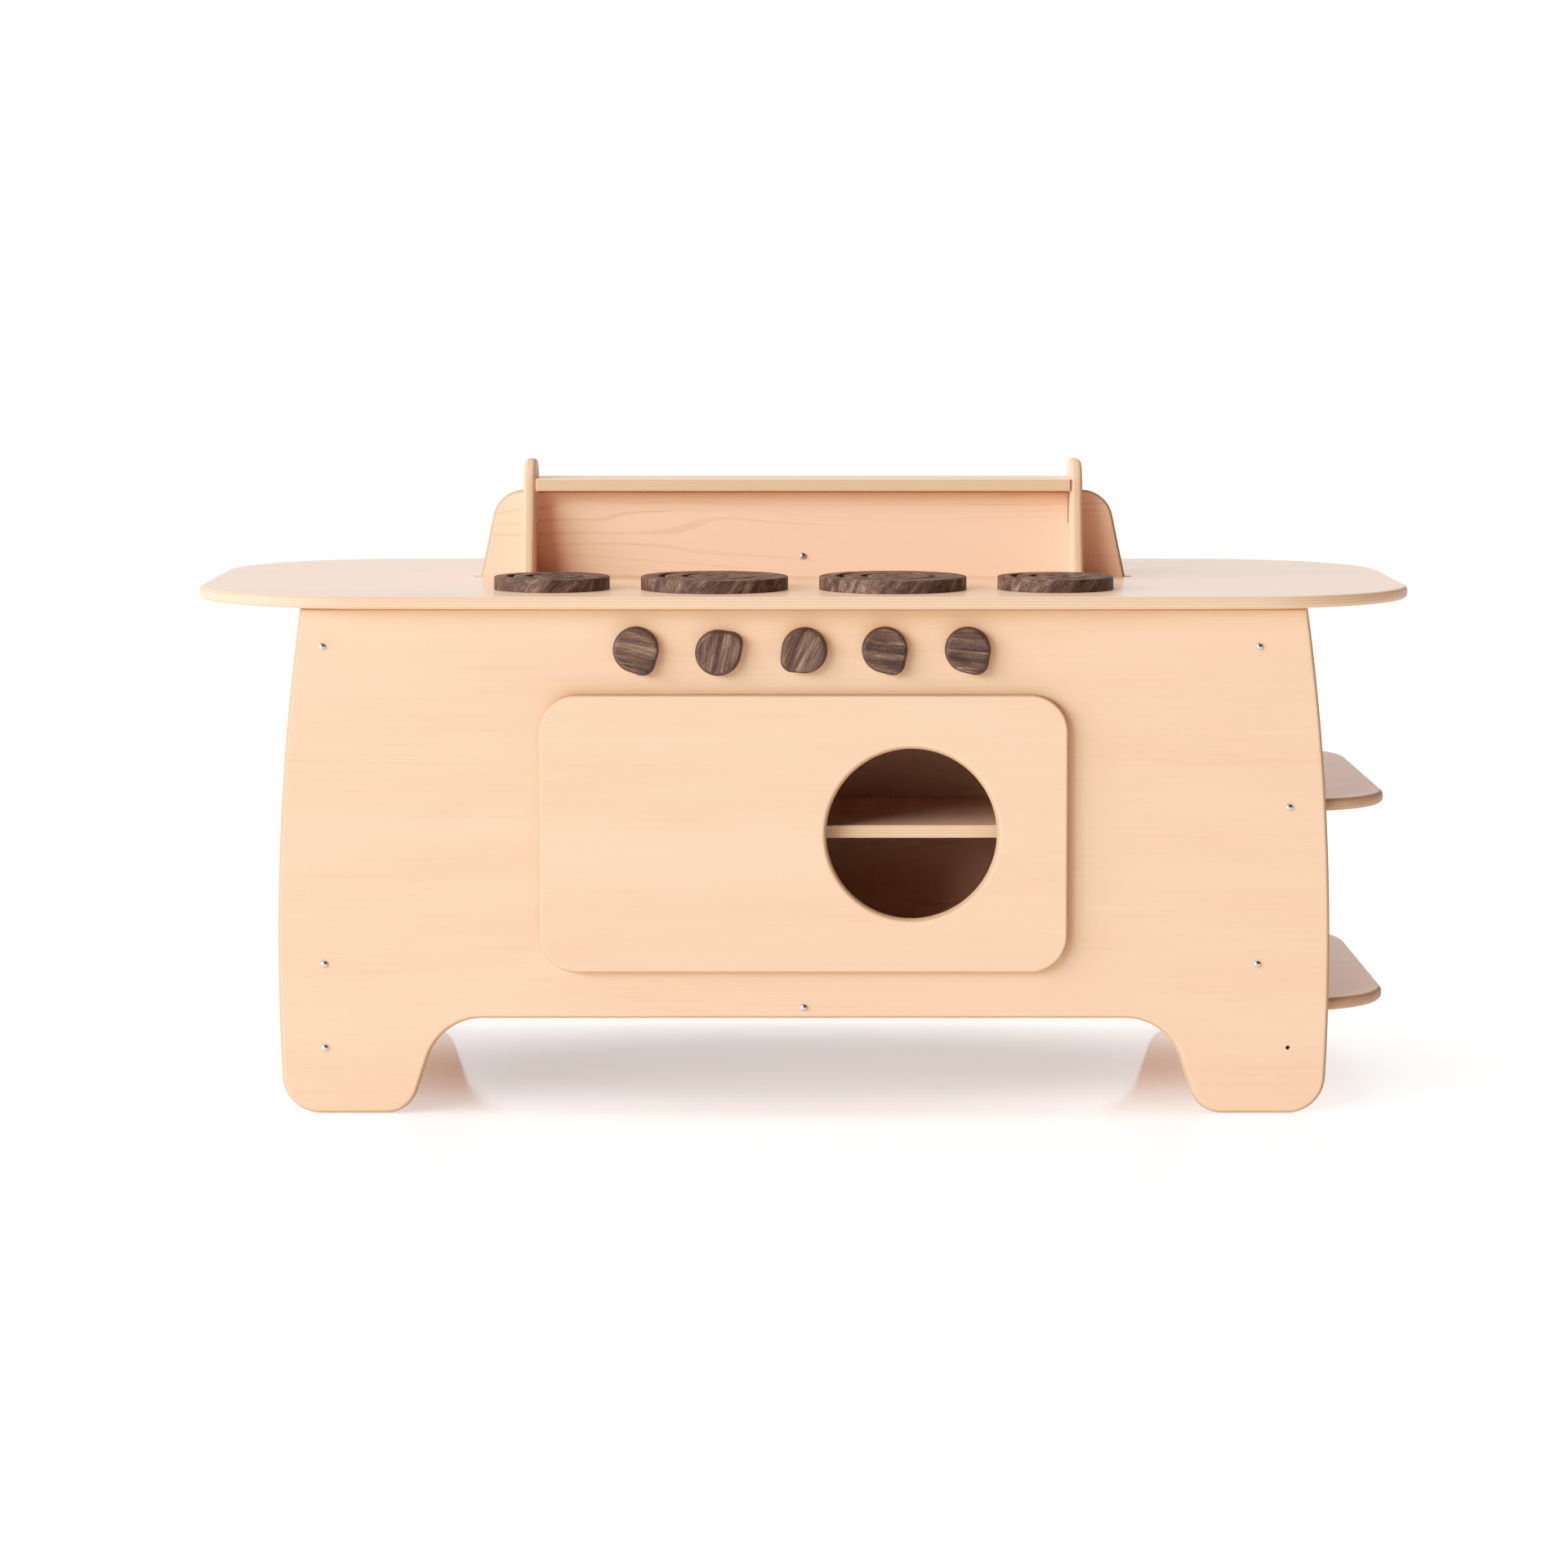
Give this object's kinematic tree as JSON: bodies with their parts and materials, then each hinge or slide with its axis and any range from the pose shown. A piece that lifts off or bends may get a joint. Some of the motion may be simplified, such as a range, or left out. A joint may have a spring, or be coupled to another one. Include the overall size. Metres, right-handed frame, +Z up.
{
  "type": "toy kitchen",
  "caption": "Free-standing plywood play kitchen with rounded worktop, wooden burner discs, turning knobs, hinged oven door with round window, small hutch and open end shelves.",
  "frame": {"origin": "on the floor, under the middle of the worktop", "axes": "+X to the user's right along the worktop's length, +Y from the door side to the back, +Z up"},
  "size_m": [1.4794, 0.7, 0.77],
  "materials": {
    "plywood": "pale birch or maple plywood, clear matt lacquer, layers showing on the edges",
    "beech": "planed solid beech",
    "walnut": "dark walnut, oiled",
    "bolt_steel": "bright zinc-plated steel",
    "hinge_steel": "brushed steel",
    "white_plastic": "white moulded plastic"
  },
  "bodies": {
    "body": {"worktop": "plywood", "centre_panel": "plywood", "front_panel": "plywood", "back_panel": "plywood", "left_side_panel": "plywood", "right_side_panel": "plywood", "right_foot_panel": "plywood", "bottom_board": "plywood", "side_shelf": "plywood", "inner_shelf_front": "plywood", "inner_shelf_back": "plywood", "left_hutch_upright": "plywood", "right_hutch_upright": "plywood", "hutch_shelf": "plywood", "lower_hinge_arm": "hinge_steel", "upper_hinge_arm": "hinge_steel", "lower_hinge_pin": "hinge_steel", "upper_hinge_pin": "hinge_steel", "magnet_catch": "white_plastic", "front_batten": "beech", "back_batten": "beech", "burner_far_left": "walnut", "burner_left": "walnut", "burner_right": "walnut", "burner_far_right": "walnut", "front_bolt_left_upper": "bolt_steel", "front_bolt_left_lower": "bolt_steel", "front_bolt_left_foot": "bolt_steel", "front_bolt_right_upper": "bolt_steel", "front_bolt_right_lower": "bolt_steel", "front_bolt_shelf": "bolt_steel", "front_bolt_board": "bolt_steel", "back_bolt_left_upper": "bolt_steel", "back_bolt_left_lower": "bolt_steel", "back_bolt_left_foot": "bolt_steel", "back_bolt_right_upper": "bolt_steel", "back_bolt_right_lower": "bolt_steel", "back_bolt_shelf": "bolt_steel", "back_bolt_board": "bolt_steel", "back_bolt_right_foot": "bolt_steel", "hutch_bolt_left": "bolt_steel", "hutch_bolt_right": "bolt_steel", "hutch_bolt_centre": "bolt_steel"},
    "door": {"oven_door": "plywood", "lower_hinge_leaf": "hinge_steel", "upper_hinge_leaf": "hinge_steel", "strike_plate": "hinge_steel"},
    "knob_turn_1": {"knob_1": "walnut", "knob_spindle_1": "bolt_steel"},
    "knob_turn_2": {"knob_2": "walnut", "knob_spindle_2": "bolt_steel"},
    "knob_turn_3": {"knob_3": "walnut", "knob_spindle_3": "bolt_steel"},
    "knob_turn_4": {"knob_4": "walnut", "knob_spindle_4": "bolt_steel"},
    "knob_turn_5": {"knob_5": "walnut", "knob_spindle_5": "bolt_steel"}
  },
  "joints": [
    {"name": "door_swing", "type": "hinge", "parent": "body", "child": "door", "pos_m": [-0.311, -0.3158, 0.3377], "axis": [0, 0, -1], "range_deg": [0, 100]},
    {"name": "knob_1_turn", "type": "hinge", "parent": "body", "child": "knob_turn_1", "pos_m": [-0.1984, -0.3165, 0.5547], "axis": [0, -1, 0], "continuous": true},
    {"name": "knob_2_turn", "type": "hinge", "parent": "body", "child": "knob_turn_2", "pos_m": [-0.0999, -0.3165, 0.5547], "axis": [0, -1, 0], "continuous": true},
    {"name": "knob_3_turn", "type": "hinge", "parent": "body", "child": "knob_turn_3", "pos_m": [-0.0014, -0.3165, 0.5547], "axis": [0, -1, 0], "continuous": true},
    {"name": "knob_4_turn", "type": "hinge", "parent": "body", "child": "knob_turn_4", "pos_m": [0.0971, -0.3165, 0.5547], "axis": [0, -1, 0], "continuous": true},
    {"name": "knob_5_turn", "type": "hinge", "parent": "body", "child": "knob_turn_5", "pos_m": [0.1956, -0.3165, 0.5547], "axis": [0, -1, 0], "continuous": true}
  ]
}
